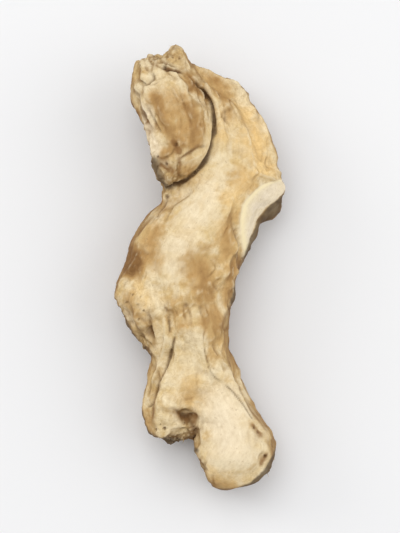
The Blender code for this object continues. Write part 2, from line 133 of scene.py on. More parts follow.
FOLDS = [
    (0.4, 0.45, [(0.9, 46.6), (2.6, 43.4), (4.3, 40.2), (4.9, 36.6)]),
    (0.3, 0.35, [(11.0, 36.0), (12.0, 32.4), (12.6, 29.4)]),
    (0.4, 0.4, [(13.2, 23.6), (15.4, 22.8), (17.8, 22.2), (19.6, 21.0)]),
    (0.3, 0.6, [(14.0, 19.8), (11.2, 16.6), (9.6, 12.6), (9.4, 8.4), (10.2, 4.4)]),
    (0.5, 0.7, [(-15.4, 42.6), (-14.1, 38.0), (-12.8, 33.4), (-11.9, 28.8)]),
    (0.4, 0.4, [(7.6, 1.4), (7.9, -5.6), (7.8, -13.0)]),
    (0.5, 0.45, [(-9.3, -11.2), (-8.6, -14.4), (-8.6, -19.2), (-10.0, -24.2), (-12.0, -29.4)]),
    (0.35, 0.35, [(-5.4, -12.8), (-3.4, -10.8), (-1.2, -8.6)]),
    (0.3, 0.35, [(-7.2, -11.6), (-6.6, -13.8), (-6.2, -16.0)]),
    (0.3, 0.35, [(-2.4, -33.2), (0.4, -33.8), (1.2, -37.4), (1.0, -41.2)]),
    (0.3, 0.4, [(-3.6, 25.6), (-0.8, 27.2), (1.4, 28.6)]),
    (0.3, 0.45, [(3.6, -19.0), (6.6, -25.6), (10.4, -31.2)]),
]

# Colour on the upper side, in the same form: darker stains, which turn from tan to brown
# above 1, paler zones, and the pinkish blush. One pale zone and one blush are painted
# highlight on the lit left side of the folded finger.
STAINS = [
    (4.2, 3.0, [(-18.6, 4.8), (-16.8, 0.4)]), (0.9, 3.4, [(-12.4, 8.0), (-11.2, 1.6)]),
    (1.15, 4.2, [(0.4, 0.4), (1.0, -5.8)]), (1.3, 2.4, [(8.0, 0.6), (6.4, -8.6)]),
    (1.0, 2.6, [(7.2, 11.4), (7.0, 3.6)]), (1.05, 3.4, [(2.8, -12.4), (4.8, -14.4), (3.6, -15.8)]),
    (0.5, 2.8, [(11.2, 20.0), (8.8, 22.6)]), (1.25, 2.8, [(3.4, 46.4), (5.4, 42.8)]),
    (0.25, 3.0, [(12.4, 36.0), (13.6, 29.0)]),
    (1.45, 2.3, [(-10.6, 41.6), (-9.4, 37.6), (-7.8, 33.8)]),
    (0.7, 2.4, [(-5.6, 23.0), (-2.2, 24.6)]),
    (1.45, 2.5, [(-2.6, 39.6), (-1.0, 36.0), (-1.6, 31.6)]),
    (0.35, 2.0, [(-12.6, -13.6), (-11.0, -20.0)]), (1.9, 1.9, [(-2.8, 46.8), (0.6, 43.4)]),
    (1.2, 1.6, [(-6.4, 29.6), (-8.6, 27.4)]), (0.9, 1.6, [(-6.6, 40.8), (-3.4, 42.4)]),
    (1.1, 1.8, [(-6.8, 32.6), (-4.2, 30.6)]), (0.75, 5.4, [(-7.6, 40.8), (-3.4, 33.0)]),
    (0.3, 2.0, [(-9.0, -26.6), (-11.8, -32.6)]), (0.45, 2.2, [(-9.6, 15.2), (-7.4, 12.4)]),
    (0.8, 2.4, [(-17.8, -8.2), (-15.4, -12.0)]), (0.6, 1.6, [(7.0, 39.4), (7.4, 37.8)]),
    (0.45, 3.0, [(-6.4, -8.6), (-3.4, -14.6)]), (0.6, 2.2, [(6.0, -18.4), (7.6, -25.0)]),
    (0.4, 3.4, [(-2.0, -30.6), (-2.8, -34.0)]), (0.8, 2.0, [(3.4, -53.4), (8.0, -54.6)]),
]
PALE_ZONES = [
    (0.8, 4.2, [(6.8, 31.5), (4.6, 24.0), (0.4, 16.0), (-4.6, 7.0), (-7.0, 1.0)]),
    (1.0, 6.2, [(4.6, -33.6), (7.0, -40.6), (7.4, -44.4)]),
    (0.8, 3.4, [(-4.4, -22.0), (-6.6, -31.8)]),
    # Painted highlight: the lit left side of the folded finger.
    (1.4, 1.9, [(-14.6, 42.0), (-13.0, 36.0), (-12.0, 29.6)]),
    (1.2, 2.6, [(-12.0, 44.4), (-4.6, 43.4)]), (1.0, 3.0, [(-1.4, -18.8), (-1.0, -24.0)]),
    (0.8, 2.0, [(5.2, 40.0), (5.0, 33.6)]), (0.5, 2.6, [(-14.4, -3.4), (-12.4, -10.4)]),
    (0.8, 2.4, [(-8.6, -38.2), (-5.0, -40.6)]),
    (0.9, 1.4, [(10.4, 43.6), (14.6, 36.0), (17.4, 30.4)]),
    (0.8, 1.6, [(12.6, 33.6), (12.8, 28.6)]), (0.7, 1.5, [(7.9, -1.0), (7.9, -9.0), (7.6, -15.0)]),
]
BLUSHES = [
    (1.0, 7.0, [(5.4, -36.0), (7.2, -43.0)]), (0.4, 4.0, [(-9.0, 13.0), (-6.0, 18.0)]),
    (0.5, 3.6, [(3.0, 19.0), (-1.6, 13.0), (-4.4, 6.0), (-6.6, 0.0)]),
    # Painted highlight: the lit left side of the folded finger.
    (1.3, 2.0, [(-13.6, 38.4), (-12.4, 33.6), (-11.2, 28.8)]),
]
# Painted shade on walls that turn down out of the light, rusty marks, and the golden tinge
# of the right side.
SHADED_WALLS = [(1.0, 1.3, [(-11.4, 26.4), (-11.0, 24.2), (-10.1, 22.0), (-8.4, 20.1)])]
RUSTS = [
    (0.9, 1.3, [(-6.2, -35.6), (-4.2, -37.6), (-1.2, -37.0)]),
    (0.8, 1.1, [(-1.8, -38.4), (-1.3, -41.0), (-1.6, -44.2)]),
    (0.9, 0.8, [(12.9, -39.4), (14.7, -41.5)]), (1.0, 0.7, [(16.0, -46.6), (15.0, -48.6)]),
    (0.9, 0.8, [(-10.2, 27.2), (-8.0, 25.6), (-6.8, 23.8)]),
    (1.5, 1.0, [(-6.2, 30.6), (-5.2, 28.8)]),
    (0.7, 0.6, [(-4.6, 27.0), (-2.5, 28.3), (-0.4, 30.2)]),
    (1.3, 0.7, [(-9.5, 25.4), (-7.9, 24.1)]),
    (0.9, 0.7, [(-5.0, 26.6), (-4.9, 24.8), (-5.4, 22.9)]),
    (1.3, 0.6, [(-8.6, 49.6), (-6.6, 49.1), (-5.0, 48.8)]), (0.6, 1.0, [(-2.8, 45.9), (0.0, 45.6)]),
    (0.4, 1.0, [(-12.2, -15.6), (-11.2, -19.4)]), (0.35, 1.6, [(2.0, -13.4), (4.6, -15.2)]),
]
GOLDEN = [
    (1.2, 3.4, [(11.4, 38.6), (14.0, 31.0), (15.0, 26.6)]), (0.7, 2.0, [(5.0, 38.6), (5.4, 33.0)]),
    (1.0, 1.9, [(17.6, 24.6), (13.0, 22.8)]),
    (1.0, 2.4, [(11.8, 21.4), (8.6, 17.0), (7.4, 12.0), (7.0, 7.0)]),
    (0.7, 2.2, [(7.6, 3.0), (6.8, -6.4)]), (0.6, 2.4, [(5.4, -18.4), (8.0, -25.6)]),
    (0.6, 2.6, [(-15.6, -4.6), (-13.6, -10.6)]), (0.6, 2.6, [(3.0, -51.4), (7.4, -53.2)]),
    (0.5, 2.6, [(-1.4, -28.6), (-2.4, -33.6)]),
]
# Where the rim turns down to the floor, painted shade goes on the skin to the right of these
# lines, as they run.
RIMS = [
    [(-20.6, -9.4), (-18.8, -12.4), (-17.0, -15.2), (-14.8, -18.8), (-13.4, -20.4)],
    [(-14.0, -36.2), (-13.3, -39.0), (-11.7, -41.2), (-9.7, -42.2), (-4.8, -42.4), (-2.0, -43.9)],
    [(9.2, -54.3), (12.5, -52.7), (15.8, -49.6), (18.1, -45.8)],
    [(7.5, -9.4), (7.8, -6.9), (9.0, -3.8), (9.7, -0.4), (11.0, 2.9), (11.9, 5.4)],
]

# Cork and scraped faces: x, y, z and reach in millimetres, and strength.
CRUSTS = [
    (-9.3, 50.5, 16.5, 8.5, 1.1), (-6.8, 22.6, 18.4, 7.0, 0.9), (-12.1, 26.3, 17.4, 5.0, 0.7),
    (-17.5, -9.6, 11.6, 8.0, 0.6), (-12.1, -18.3, 11.6, 6.0, 0.8), (-6.3, -42.8, 9.6, 6.0, 0.8),
    (3.5, 50.4, 10.6, 6.0, 0.7), (-2.2, -39.4, 12.0, 5.0, 1.0), (17.5, -49.0, 9.0, 5.0, 0.6),
]
FURROWED = [
    (-7.0, 36.0, 24.0, 14.0, 0.5), (-12.0, -14.0, 12.0, 9.0, 0.9), (4.0, -16.0, 16.0, 9.0, 0.6),
    (-10.0, -28.0, 14.0, 9.0, 0.4),
]
SMOOTH_FACES = [
    (5.4, 25.5, 21.4, 14.0, 0.85), (-0.4, 11.9, 24.3, 15.0, 0.9), (-4.3, -0.8, 24.3, 12.0, 0.7),
    (2.4, -14.6, 20.5, 9.0, 0.4), (-1.4, -26.8, 18.5, 9.0, 0.6), (6.6, -38.0, 18.4, 13.0, 1.0),
    (8.3, -45.8, 18.4, 13.0, 1.0), (-6.0, 37.0, 25.0, 11.0, 0.35), (12.0, 31.0, 18.0, 10.0, 0.5),
    (8.5, -6.0, 11.0, 7.0, 0.8), (-3.4, 20.0, 20.0, 6.0, 0.8),
]
# The face that a knife has pared: a point on it, the way it faces, and its reach in millimetres.
PARED_POINT, PARED_FACING, PARED_REACH = (15.5, 12.6, 13.6), (0.64, -0.40, 0.66), 12.5
# Its left edge, which gets a painted highlight, and the right edge beyond which it turns down
# out of the light and gets painted shade.
PARED_LEFT = [(10.7, 3.6), (10.1, 5.7), (9.6, 8.0), (9.5, 11.4), (10.1, 15.1), (11.5, 17.1),
              (13.4, 18.9), (15.0, 20.1), (16.9, 20.9), (19.6, 21.6), (24.0, 22.2)]
PARED_RIGHT = [(10.8, 2.0), (11.8, 4.5), (12.6, 7.5), (13.6, 10.2), (15.0, 12.5), (16.5, 14.7),
               (18.8, 16.4), (20.8, 18.3), (21.6, 19.6)]

# Shrinkage wrinkles, from broad to fine: how many times longer than wide, their size, their
# sharpness, their share of the height, and their seed.
WRINKLES = [
    (3.2, 3.2 * MM, 3.0, 1.0, 20), (4.0, 1.7 * MM, 3.0, 0.5, 30), (5.5, 0.9 * MM, 2.6, 0.25, 40),
]

# Edges that drying has rounded: x, y, z and reach in millimetres, and rounds of smoothing.
SOFTENED = [(*PARED_POINT, 17.0, 10), (8.0, -51.0, 15.0, 12.0, 60), (-20.0, -7.0, 14.0, 8.0, 30)]

# Pits read off the upper side: x, y, radius and depth in millimetres.
PITS = [
    (-10.8, -40.4, 0.45, 0.4), (-8.6, -40.2, 0.5, 0.5), (-9.6, -39.2, 0.3, 0.3),
    (13.2, -39.8, 0.6, 0.35), (14.1, -40.9, 0.5, 0.3), (15.9, -46.9, 0.55, 0.5),
    (-16.4, -7.1, 0.35, 0.3), (-18.0, -9.0, 0.35, 0.3), (-15.2, -9.4, 0.3, 0.3),
    (-13.8, -11.0, 0.3, 0.3), (-14.6, -7.6, 0.3, 0.25), (-15.0, -13.0, 0.35, 0.3),
    (-8.2, 25.4, 0.55, 0.5), (-5.9, 30.2, 0.6, 0.4), (-10.4, 27.4, 0.45, 0.4),
]


def length_property(name, description, default, **limits):
    return FloatProperty(
        name=name, description=description, default=default, subtype="DISTANCE", unit="LENGTH",
        **limits)


def colour_property(name, description, default):
    return FloatVectorProperty(
        name=name, description=description, default=default, size=4, subtype="COLOR",
        min=0.0, max=1.0)


class GingerSkinSettings(bpy.types.PropertyGroup):
    """How fine the skin is and how far its relief stands out."""

    cell: length_property("Cell", "Size of the skin's mesh cells", 0.38 * MM, min=0.2 * MM)
    wrinkle_depth: length_property("Wrinkle depth", "Height of the shrinkage wrinkles", 0.27 * MM)
    furrow_depth: length_property("Furrow depth", "Depth of the thin dark furrows", 0.38 * MM)
    ring_height: length_property("Ring height", "Height of the leaf rings", 0.13 * MM)
    crust_height: length_property("Crust height", "Height of the cracked cork", 0.5 * MM)
    peel_step: length_property("Peel step", "How far unscraped skin stands above the flesh",
                               0.08 * MM)
    pores: IntProperty(
        name="Pores", description="Number of scattered root scars and pores", default=80)
    seed: IntProperty(name="Seed", description="Start of every random draw", default=11)


class GingerColourSettings(bpy.types.PropertyGroup):
    """The colours of the dried skin, of what shows under it, and of the shade and highlight painted
    on it.
    """

    # Flesh also paints the highlight on the crests, together with their pale wear.
    flesh: colour_property("Flesh", "Scraped pale flesh", (0.77, 0.65, 0.43, 1))
    buff: colour_property("Buff", "Most of the skin", (0.65, 0.48, 0.225, 1))
    tan: colour_property("Tan", "Unscraped skin", (0.47, 0.285, 0.108, 1))
    # Brown also paints the shade on the flanks and in the hollows, furrows and deep folds.
    brown: colour_property("Brown", "Bruised and sunburnt patches", (0.22, 0.11, 0.034, 1))
    # Painted shade in the creases and pits.
    crevice_shade: colour_property("Crevice", "Dirt in the deepest folds", (0.05, 0.022, 0.009, 1))
    cut: colour_property("Cut", "Face pared with a knife", (0.80, 0.70, 0.54, 1))
    blush: colour_property("Blush", "Pinkish cream of the longer toe", (0.82, 0.70, 0.50, 1))
    # Painted highlight along the pared face's left edge.
    rim: colour_property("Rim", "Bright left edge of the pared face", (0.93, 0.80, 0.49, 1))
    rust: colour_property("Rust", "Reddish broken and bruised marks", (0.24, 0.115, 0.035, 1))
    gold: colour_property("Gold", "Golden tinge of the right side", (0.80, 0.56, 0.245, 1))
    # Painted shade on the walls that turn down out of the light.
    wall_shade: colour_property("Wall", "Shaded, dusty walls near the floor", (0.085, 0.054, 0.03, 1))


class GingerFibreSettings(bpy.types.PropertyGroup):
    """The torn fibres at the broken ends."""

    count: IntProperty(name="Count", description="Number of torn fibres", default=26)
    length: length_property("Length", "Length of the longest fibre", 1.4 * MM)
    thickness: length_property("Thickness", "Width of a fibre at its root", 0.22 * MM)


class GingerStageSettings(bpy.types.PropertyGroup):
    """The floor, the light and the camera."""

    floor: colour_property("Floor", "Pale studio floor", (0.80, 0.804, 0.815, 1))
    elevation: FloatProperty(
        name="Elevation", description="Camera's height above the horizon",
        default=ELEVATION, subtype="ANGLE", unit="ROTATION")
    lens: FloatProperty(
        name="Lens", description="Camera's focal length", default=180, subtype="DISTANCE_CAMERA")
    fill: FloatProperty(
        name="Fill", description="Share of the picture's height that the root takes up",
        default=0.84, subtype="FACTOR")


class GingerRootSettings(bpy.types.PropertyGroup):
    """Everything that a user of the ginger root may change."""

    skin: PointerProperty(type=GingerSkinSettings)
    colours: PointerProperty(type=GingerColourSettings)
    fibres: PointerProperty(type=GingerFibreSettings)
    stage: PointerProperty(type=GingerStageSettings)


# Numbers over the skin.

LATTICE_PRIMES = np.array((374761393, 668265263, 1440662683))
SEED_PRIME, MIXING_PRIME = 974711, 1274126177


def smooth_step(low, high, values):
    t = np.clip((values - low) / (high - low), 0.0, 1.0)
    return t * t * (3.0 - 2.0 * t)


def lengths(vectors):
    return np.linalg.norm(vectors, axis=-1)


def unit(vectors):
    return vectors / np.linalg.norm(vectors, axis=-1, keepdims=True)


def lattice_hash(lattice, seed):
    """A well mixed whole number for each lattice cell."""
    mixed = lattice @ LATTICE_PRIMES + seed * SEED_PRIME
    mixed = (mixed ^ (mixed >> 13)) * MIXING_PRIME
    return (mixed ^ (mixed >> 16)) & 0xFFFF


DIRECTIONS = unit(np.random.default_rng(3).normal(size=(256, 3)))
JITTER = np.random.default_rng(4).random((256, 3))


def noise_at(points, size, seed):
    """Smooth noise from about -1 to 1, with features of the given size; each seed has its own."""
    scaled = points / size + 0.37 * seed
    cell = np.floor(scaled).astype(np.int64)
    inside = scaled - cell
    fade = inside ** 3 * (inside * (inside * 6 - 15) + 10)
    total = np.zeros(len(points))
    for corner in np.ndindex(2, 2, 2):
        pick = DIRECTIONS[lattice_hash(cell + corner, seed) & 255]
        weight = np.prod(np.where(corner, fade, 1 - fade), axis=1)
        total += weight * np.einsum("pk,pk->p", pick, inside - corner)
    return total * 1.7


def cells_at(points, size, seed):
    """How far each point is from the crack round its cell, and its cell's own shade."""
    scaled = points / size + 0.53 * seed
    cell = np.floor(scaled).astype(np.int64)
    first = np.full(len(points), np.inf)
    second = np.full(len(points), np.inf)
    shade = np.zeros(len(points))
    for corner in np.ndindex(3, 3, 3):
        lattice = cell + corner - 1
        mixed = lattice_hash(lattice, seed)
        distance = lengths(lattice + JITTER[mixed & 255] - scaled)
        closer = distance < first
        second = np.where(closer, first, np.minimum(second, distance))
        shade = np.where(closer, (mixed >> 8 & 255) / 255.0, shade)
        first = np.where(closer, distance, first)
    return second - first, shade


def ridged(values, sharpness):
    """Noise folded into crests: 1 on a crest and falling below 0 between crests."""
    return 1.0 - sharpness * np.abs(values)


def spread(points, patches):
    """How strongly each point is touched by the patches: x, y, z, reach and strength."""
    strength = np.zeros(len(points))
    for x, y, z, reach, amount in patches:
        distance = lengths(points - np.array((x, y, z)) * MM)
        strength = np.maximum(strength, amount * smooth_step(1.0, 0.2, distance / (reach * MM)))
    return strength


def catmull_rom(knots, steps):
    """Points on the smooth curve through the knots, with the given steps in each span."""
    padded = np.vstack([2 * knots[0] - knots[1], knots, 2 * knots[-1] - knots[-2]])
    points = []
    for before, start, end, after in zip(padded, padded[1:], padded[2:], padded[3:]):
        for t in np.arange(steps) / steps:
            points.append(0.5 * (
                2 * start + (end - before) * t
                + (2 * before - 5 * start + 4 * end - after) * t ** 2
                + (3 * start - before - 3 * end + after) * t ** 3))
    return np.array(points + [knots[-1]])


class FingerLine:
    """One finger's middle line, and where points of the skin lie along and round it."""

    def __init__(self, stations):
        line = catmull_rom(np.array(stations) * MM, 3)
        self.centres, self.radii = line[:, :3], line[:, 3]
        steps = lengths(np.diff(self.centres, axis=0))
        self.travel = np.concatenate([[0.0], np.cumsum(steps)])
        self.along = unit(np.gradient(self.centres, axis=0))
        self.side = unit(np.cross(self.along, (0.0, 0.0, 1.0)))
        self.up = np.cross(self.side, self.along)

    def locate(self, points):
        """Each point's reach in radii, then its place across, above and along the finger."""
        offset = points[:, None, :] - self.centres[None]
        reach = lengths(offset) / self.radii
        share = np.exp(-8.0 * (reach - reach.min(axis=1, keepdims=True)))
        share /= share.sum(axis=1, keepdims=True)
        ahead = np.einsum("pck,ck->pc", offset, self.along) + self.travel
        across = np.einsum("pck,ck->pc", offset, self.side)
        above = np.einsum("pck,ck->pc", offset, self.up)
        place = np.stack([(share * v).sum(axis=1) for v in (across, above, ahead)], axis=1)
        return reach.min(axis=1), place


def finger_places(points):
    """For each finger: its number, which points feel it, how much, and where they lie on it."""
    located = [FingerLine(stations).locate(points) for stations in FINGERS.values()]
    nearest = np.min([reach for reach, _ in located], axis=0)
    shares = np.array([np.exp(-16.0 * (reach - nearest)) for reach, _ in located])
    shares /= shares.sum(axis=0)
    for number, (share, (_, place)) in enumerate(zip(shares, located)):
        felt = np.flatnonzero(share > 0.01)
        yield number, felt, share[felt], place[felt]


def stretched(place, waver, times):
    """Places on a finger with its length squeezed, so that noise there is drawn out along it."""
    return place * (1.0, 1.0, 1.0 / times) + (waver * 0.8 * MM)[:, None] * (1.0, 1.0, 0.0)


def ring_profile(place, waver, seed):
    """Leaf rings at uneven steps along a finger: a small cliff with a groove below it."""
    rng = np.random.default_rng(seed)
    rings = np.cumsum(rng.uniform(2.6, 6.4, 40)) * MM - 8 * MM
    height = np.zeros(len(place))
    for ring, strength in zip(rings, rng.uniform(0.35, 1.0, len(rings))):
        ahead = (place[:, 2] - ring + waver * 1.6 * MM) / (0.42 * MM)
        cliff = np.where(ahead < 0, np.exp(-(ahead * 0.3) ** 2), np.exp(-(ahead * 1.4) ** 2))
        groove = -0.8 * np.exp(-((ahead - 1.6) / 0.9) ** 2)
        height += strength * (cliff + groove)
    return height


# The skin's mesh.

def add_object(name, data):
    obj = bpy.data.objects.new(name, data)
    bpy.context.scene.collection.objects.link(obj)
    return obj


def finished_mesh(shape, name):
    """Turns a bmesh into a new mesh and frees it."""
    mesh = bpy.data.meshes.new(name)
    shape.to_mesh(mesh)
    shape.free()
    return mesh


def coordinates(mesh):
    points = np.empty(len(mesh.vertices) * 3)
    mesh.vertices.foreach_get("co", points)
    return points.reshape(-1, 3)


def normals(mesh):
    found = np.empty(len(mesh.vertices) * 3)
    mesh.vertex_normals.foreach_get("vector", found)
    return found.reshape(-1, 3)


def place_vertices(mesh, points):
    mesh.vertices.foreach_set("co", points.ravel())
    mesh.update()


def apply_modifiers(obj):
    graph = bpy.context.evaluated_depsgraph_get()
    obj.data = bpy.data.meshes.new_from_object(obj.evaluated_get(graph))
    obj.modifiers.clear()


def refined_skin(cell):
    """A fine, rounded copy of the rhizome's solid, as a new object."""
    merged = bmesh.new()
    merged.from_mesh(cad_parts[NODE].data)
    bmesh.ops.remove_doubles(merged, verts=merged.verts[:], dist=0.001 * MM)
    skin = add_object("ginger_skin", finished_mesh(merged, "ginger_skin"))
    remesh = skin.modifiers.new("Fine cells", "REMESH")
    remesh.mode = "VOXEL"
    remesh.voxel_size = cell
    smooth = skin.modifiers.new("Round facets", "SMOOTH")
    smooth.factor = 0.5
    smooth.iterations = 9
    apply_modifiers(skin)
    return skin


def neighbour_mean(mesh, values, rounds):
    """The values, spread over the mesh by taking each vertex's neighbours' mean again and again."""
    pairs = np.empty(len(mesh.edges) * 2, np.int32)
    mesh.edges.foreach_get("vertices", pairs)
    one, other = pairs.reshape(-1, 2).T
    count = len(mesh.vertices)
    degree = np.bincount(one, minlength=count) + np.bincount(other, minlength=count)
    for _ in range(rounds):
        columns = []
        for column in values.T:
            total = np.bincount(one, column[other], count) + np.bincount(other, column[one], count)
            columns.append(0.5 * column + 0.5 * total / np.maximum(degree, 1))
        values = np.stack(columns, axis=1)
    return values


def hollowness(mesh, rounds):
    """How far the skin lies below its own rounded average, in metres."""
    points = coordinates(mesh)
    rounded = neighbour_mean(mesh, points, rounds)
    return np.einsum("pk,pk->p", rounded - points, normals(mesh))


def point_seen(tree, x, y):
    """Where the photo's line of sight through x, y at half height meets the skin, or None."""
    sight = Vector((0, math.cos(ELEVATION), -math.sin(ELEVATION)))
    through = Vector((x * MM, y * MM, HALF_HEIGHT))
    point = tree.ray_cast(through - sight * 100 * MM, sight)[0]
    return None if point is None else np.array(point)


def spans(points, line):
    """For each span of a line: its run, and each point's offset and distance from it."""
    for start, end in zip(line, line[1:]):
        run, offset = end - start, points - start
        share = np.clip(offset @ run / (run @ run), 0.0, 1.0)
        yield run, offset, lengths(offset - share[:, None] * run)


def line_strengths(points, tree, lines, waver, fading=False):
    """How strongly each point is touched by the lines; fading ones die out at their ends."""
    strongest = np.zeros(len(points))
    for strength, half_width, route in lines:
        route = catmull_rom(np.array(route), 8)
        seen = [point_seen(tree, x, y) for x, y in route]
        line = np.array([point for point in seen if point is not None])
        if len(line) < 2:
            continue
        reach = 2.2 * half_width * MM
        low, high = line.min(axis=0) - reach, line.max(axis=0) + reach
        near = np.flatnonzero(((points > low) & (points < high)).all(axis=1))
        away = np.min([distance for _, _, distance in spans(points[near], line)], axis=0)
        share = away / (half_width * MM * (1 + waver[near]))
        profile = strength * np.exp(-share ** 2)
        if fading:
            ends = np.minimum(lengths(points[near] - line[0]), lengths(points[near] - line[-1]))
            profile *= 0.25 + 0.75 * smooth_step(0.0, 5 * half_width * MM, ends)
        strongest[near] = np.maximum(strongest[near], profile)
    return strongest


def seen_height(points):
    """Where points lie up and down the photo, measured at half the root's height."""
    return points[:, 1] * math.sin(ELEVATION) + (points[:, 2] - HALF_HEIGHT) * math.cos(ELEVATION)


def beyond(points, edge):
    """How far to the right of an edge in the photo each point lies, in metres."""
    across, up = np.array(edge).T * MM
    return points[:, 0] - np.interp(seen_height(points), up, across)


def outer_side(points, route, ragged):
    """1 on the skin that lies close by and to the right of a route in the photo."""
    flat = np.stack([points[:, 0], seen_height(points)], axis=1)
    line = catmull_rom(np.array(route) * MM, 6)
    nearest, outwards = np.full(len(points), np.inf), np.zeros(len(points))
    for run, offset, away in spans(flat, line):
        side = (run[1] * offset[:, 0] - run[0] * offset[:, 1]) / lengths(run)
        outwards = np.where(away < nearest, side, outwards)
        nearest = np.minimum(nearest, away)
    fade = smooth_step(2.6 * MM, 1.8 * MM, nearest)
    return fade * smooth_step(-0.35 * MM, 0.25 * MM, outwards + 0.5 * MM * ragged)


def pare_masks(points, facing):
    """The pared face, the painted highlight of the bright rim along its left side and the painted
    shade of the strip on its right.
    """
    centre, way = np.array(PARED_POINT) * MM, unit(np.array(PARED_FACING))
    ragged = 0.12 * noise_at(points, 3 * MM, 31) + 0.08 * noise_at(points, 1 * MM, 32)
    reach = lengths(points - centre) / (PARED_REACH * MM)
    below = smooth_step(1.1, 0.95, reach)
    reach += ragged
    depth = np.abs((points - centre) @ way) + 0.6 * MM * ragged
    near = smooth_step(1.02, 0.85, reach) * smooth_step(2.6 * MM, 1.6 * MM, depth)
    near *= smooth_step(0.3, 0.6, facing @ way)
    left = beyond(points, PARED_LEFT) + 1.5 * MM * ragged
    right = beyond(points, PARED_RIGHT) + 1.5 * MM * ragged
    pared = near * smooth_step(-0.5 * MM, 0.9 * MM, left) * smooth_step(0.3 * MM, -0.3 * MM, right)
    # A painted highlight along the left edge.
    rim = pared * np.exp(-((left - 0.9 * MM) / (1.0 * MM)) ** 2)
    return pared, rim, below * smooth_step(-0.1 * MM, 0.5 * MM, right)


def soften_edges(mesh):
    """Rounds off the pared face's edges and the longer toe's end, as drying does."""
    for x, y, z, reach, rounds in SOFTENED:
        points = coordinates(mesh)
        rounded = neighbour_mean(mesh, points, rounds)
        share = spread(points, [(x, y, z, reach, 1.0)])[:, None]
        place_vertices(mesh, points + share * (rounded - points))


def scattered_pits(points, facing, crust, smooth, settings):
    """Root scars and pores at seeded places, more of them on the crusts."""
    rng = np.random.default_rng(settings.seed)
    chance = crust + 0.03 * smooth_step(0.75, 0.5, facing[:, 2])
    chance *= (facing[:, 2] > -0.95) * (points[:, 2] > 1.5 * MM)
    chance *= np.clip(1.0 - 1.4 * smooth, 0.0, 1.0)
    chosen = rng.choice(len(points), settings.pores, replace=False, p=chance / chance.sum())
    radii = 0.22 + 0.5 * rng.random(settings.pores) ** 3
    return [(points[i], radius, radius * rng.uniform(0.6, 1.1)) for i, radius in zip(chosen, radii)]


def pit_depths(points, pits):
    """How deep each point lies in a pit, and how high its rim stands, in metres."""
    depth, rim = np.zeros(len(points)), np.zeros(len(points))
    for centre, radius, deep in pits:
        near = np.flatnonzero(np.abs(points - centre).max(axis=1) < 2.6 * radius * MM)
        ragged = 1.0 + 0.35 * noise_at(points[near], 0.9 * MM, 71)
        share = lengths(points[near] - centre) / (radius * MM) * ragged
        bowl = deep * MM * np.clip(1.0 - share ** 2, 0.0, 1.0) ** 1.2
        depth[near] = np.maximum(depth[near], bowl)
        edge = 0.22 * deep * MM * np.exp(-((share - 1.25) / 0.35) ** 2)
        rim[near] = np.maximum(rim[near], edge)
    return depth, rim


def finger_fields(points):
    """Wrinkles, rings and the grain's own coordinates, blended where fingers meet."""
    waver = noise_at(points, 6 * MM, 1)
    wander = noise_at(points, 3 * MM, 2)
    wrinkle, rings, furrow = np.zeros((3, len(points)))
    grain = np.zeros((len(points), 3))
    for number, felt, share, place in finger_places(points):
        bend = waver[felt] + 0.5 * wander[felt]
        for times, size, sharpness, height, seed in WRINKLES:
            crest = ridged(noise_at(stretched(place, bend, times), size, seed + number), sharpness)
            wrinkle[felt] += share * height * np.maximum(crest, -0.3)
        line = noise_at(stretched(place, bend, 2.6), 2.8 * MM, 50 + number)
        rings[felt] += share * ring_profile(place, bend, 80 + number)
        furrow[felt] += share * np.clip(1.0 - np.abs(line) / 0.26, 0.0, 1.0)
        grain[felt] += share[:, None] * place
    return wrinkle, rings, furrow, grain


def cork_relief(points, wander):
    """Cracked cork: plates of uneven size, and how close each point is to a crack."""
    bent = points + 0.6 * MM * wander[:, None] * (1.0, -1.0, 0.6)
    plates, shade = cells_at(bent * (1.0, 0.75, 1.0), 1.9 * MM, 6)
    grains, _ = cells_at(bent, 0.9 * MM, 7)
    height = np.minimum(plates, 0.4) * 2.0 - 0.5 + 0.7 * (shade - 0.5)
    height += 0.35 * (np.minimum(grains, 0.3) * 2.5 - 0.5)
    return height, 1.0 - np.clip(plates / 0.22, 0.0, 1.0), shade


def wall_shade_marks(points, tree, facing, pared_shade, waver, blotch, fine):
    """Painted shade on walls that turn down out of the light: beside the rims, under the pared
    face, on steep walls that face the camera's side, and along drawn lines.
    """
    turned = np.maximum.reduce([pared_shade] + [outer_side(points, r, fine) for r in RIMS])
    turned *= smooth_step(-0.3, 0.15, facing[:, 2] + 0.6 * blotch)
    drawn = line_strengths(points, tree, SHADED_WALLS, waver)
    # Painted shade on steep walls that face the camera's side.
    near_side_shade = smooth_step(0.5, 0.15, facing[:, 2]) * smooth_step(0.05, 0.6, -facing[:, 1])
    return np.maximum.reduce([0.35 * near_side_shade, turned, drawn])


def unscraped_marks(points, wander, darkness):
    """Where skin is left on the flesh: softly, for its colour, and sharply, for its edge."""
    ragged = 0.45 * noise_at(points, 5 * MM, 8) + 0.3 * wander + 0.2 * noise_at(points, 0.8 * MM, 12)
    left = ragged - 0.1 + darkness
    return smooth_step(-0.3, 0.35, left), smooth_step(-0.06, 0.08, left)


def drawn_pits(tree):
    """The pits that are read off the upper side, where the skin lies under them."""
    pits = [(point_seen(tree, x, y), radius, deep) for x, y, radius, deep in PITS]
    return [pit for pit in pits if pit[0] is not None]


